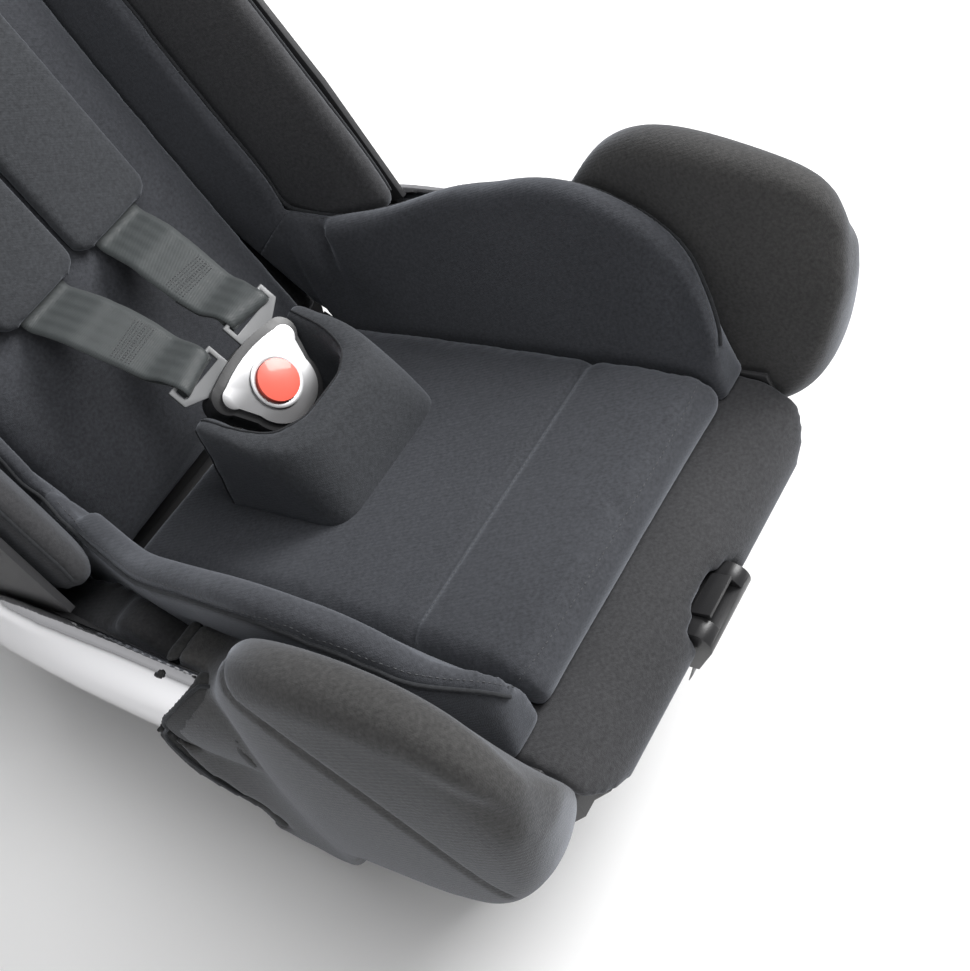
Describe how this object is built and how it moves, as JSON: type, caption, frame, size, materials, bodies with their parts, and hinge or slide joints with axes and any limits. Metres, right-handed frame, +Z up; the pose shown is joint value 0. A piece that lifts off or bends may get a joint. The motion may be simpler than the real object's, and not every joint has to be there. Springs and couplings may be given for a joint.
{
  "type": "convertible car seat",
  "caption": "Reclining child car seat with padded bolsters, sleeve armrests on bright bows, pouch crotch pad, harness buckle, sliding headrest and a cradle base.",
  "frame": {"origin": "on the floor under the base, on the seat's centre line", "axes": "+X to the child's left, -Y to the front, +Z up"},
  "size_m": [0.4746, 0.7592, 0.548],
  "materials": {
    "cover_fabric": "neoprene-like knit",
    "insert_fabric": "fine knit jersey over foam",
    "pad_fabric": "fine knit jersey over foam",
    "sleeve_fabric": "neoprene-like knit",
    "cuff_fabric": "bound edge",
    "bright_chrome": "bright",
    "webbing": "ribbed webbing",
    "red_plastic": "satin",
    "silver_face": "satin silver",
    "tongue_plastic": "matte",
    "black_plastic": "matte",
    "rubber_foot": "matte",
    "steel": "zinc plated",
    "nylon": "smooth",
    "clamp_plastic": "grained",
    "handle_plastic": "grained",
    "shell_plastic": "fine grain"
  },
  "bodies": {
    "base": {"base_foot": "rubber_foot", "base_shell": "shell_plastic", "belt_clamp_pin_left": "steel", "belt_clamp_pin_right": "steel", "recline_rack": "steel", "track_left": "steel", "track_right": "steel"},
    "seat": {"adjuster_housing": "black_plastic", "adjuster_pin": "steel", "adjuster_strap": "webbing", "armrest_cuff_left": "cuff_fabric", "armrest_cuff_right": "cuff_fabric", "armrest_pad_left": "sleeve_fabric", "armrest_pad_right": "sleeve_fabric", "back_cover": "cover_fabric", "buckle_face": "silver_face", "buckle_housing": "black_plastic", "chrome_arm_left": "bright_chrome", "chrome_arm_right": "bright_chrome", "crotch_anchor": "steel", "crotch_pad": "pad_fabric", "crotch_strap": "webbing", "front_fascia": "shell_plastic", "harness_yoke": "steel", "insert_back_cushion": "insert_fabric", "insert_bolster_left": "insert_fabric", "insert_bolster_right": "insert_fabric", "insert_seat_cushion": "insert_fabric", "insert_wing_left": "insert_fabric", "insert_wing_right": "insert_fabric", "recline_guide": "steel", "runner_left": "nylon", "runner_right": "nylon", "seat_cover": "cover_fabric", "seat_shell_back": "shell_plastic", "seat_shell_pan": "shell_plastic", "shoulder_pad_left": "pad_fabric", "shoulder_pad_right": "pad_fabric", "shoulder_strap_left": "webbing", "shoulder_strap_right": "webbing", "side_cover_left": "cover_fabric", "side_cover_right": "cover_fabric", "side_frame_left": "shell_plastic", "side_frame_right": "shell_plastic", "wing_cover_left": "cover_fabric", "wing_cover_right": "cover_fabric"},
    "recline_pin": {"recline_pin": "steel"},
    "recline_handle": {"recline_handle": "handle_plastic"},
    "belt_clamp_left": {"belt_clamp_left": "clamp_plastic"},
    "belt_clamp_right": {"belt_clamp_right": "clamp_plastic"},
    "buckle_button": {"buckle_button": "red_plastic"},
    "tongue_left": {"tongue_left": "tongue_plastic"},
    "tongue_right": {"tongue_right": "tongue_plastic"},
    "adjuster_button": {"adjuster_button": "black_plastic"},
    "headrest": {"headrest_shell": "shell_plastic", "headrest_cushion": "insert_fabric", "headrest_wing_left": "insert_fabric", "headrest_wing_right": "insert_fabric"},
    "headrest_handle": {"headrest_handle": "handle_plastic"}
  },
  "joints": [
    {"name": "recline", "type": "hinge", "parent": "base", "child": "seat", "pos_m": [0, 0.02, 0.49], "axis": [1, 0, 0], "range_deg": [0, 15]},
    {"name": "recline_handle_pull", "type": "slide", "parent": "seat", "child": "recline_handle", "axis": [0, -0.9135, 0.4067], "range_m": [0, 0.015], "stiffness_N_per_m": 600},
    {"name": "recline_pin_lift", "type": "slide", "parent": "seat", "child": "recline_pin", "axis": [0, 0.4067, 0.9135], "range_m": [0, 0.008]},
    {"name": "belt_clamp_left_open", "type": "hinge", "parent": "base", "child": "belt_clamp_left", "pos_m": [0.156, 0.18, 0.024], "axis": [0, 1, 0], "range_deg": [0, 60]},
    {"name": "belt_clamp_right_open", "type": "hinge", "parent": "base", "child": "belt_clamp_right", "pos_m": [-0.156, 0.18, 0.024], "axis": [0, -1, 0], "range_deg": [0, 60]},
    {"name": "buckle_button_press", "type": "slide", "parent": "seat", "child": "buckle_button", "axis": [0, 0.5446, -0.8387], "range_m": [0, 0.0035], "stiffness_N_per_m": 1200},
    {"name": "tongue_left_pull", "type": "slide", "parent": "seat", "child": "tongue_left", "axis": [0, 0.8387, 0.5446], "range_m": [0, 0.025], "deforming": ["shoulder_strap_left"]},
    {"name": "tongue_right_pull", "type": "slide", "parent": "seat", "child": "tongue_right", "axis": [0, 0.8387, 0.5446], "range_m": [0, 0.025], "deforming": ["shoulder_strap_right"]},
    {"name": "adjuster_press", "type": "hinge", "parent": "seat", "child": "adjuster_button", "pos_m": [0, -0.23572, 0.22442], "axis": [1, 0, 0], "range_deg": [0, 10], "stiffness_Nm_per_rad": 0.5},
    {"name": "headrest_lift", "type": "slide", "parent": "seat", "child": "headrest", "axis": [0, 0.6293, 0.7771], "range_m": [0, 0.1]},
    {"name": "headrest_handle_pull", "type": "slide", "parent": "headrest", "child": "headrest_handle", "axis": [0, 0.6293, 0.7771], "range_m": [0, 0.008], "stiffness_N_per_m": 400}
  ],
  "couplings": [
    {"joint": "recline_pin_lift", "follows": "recline_handle_pull", "ratio": 0.5333}
  ]
}
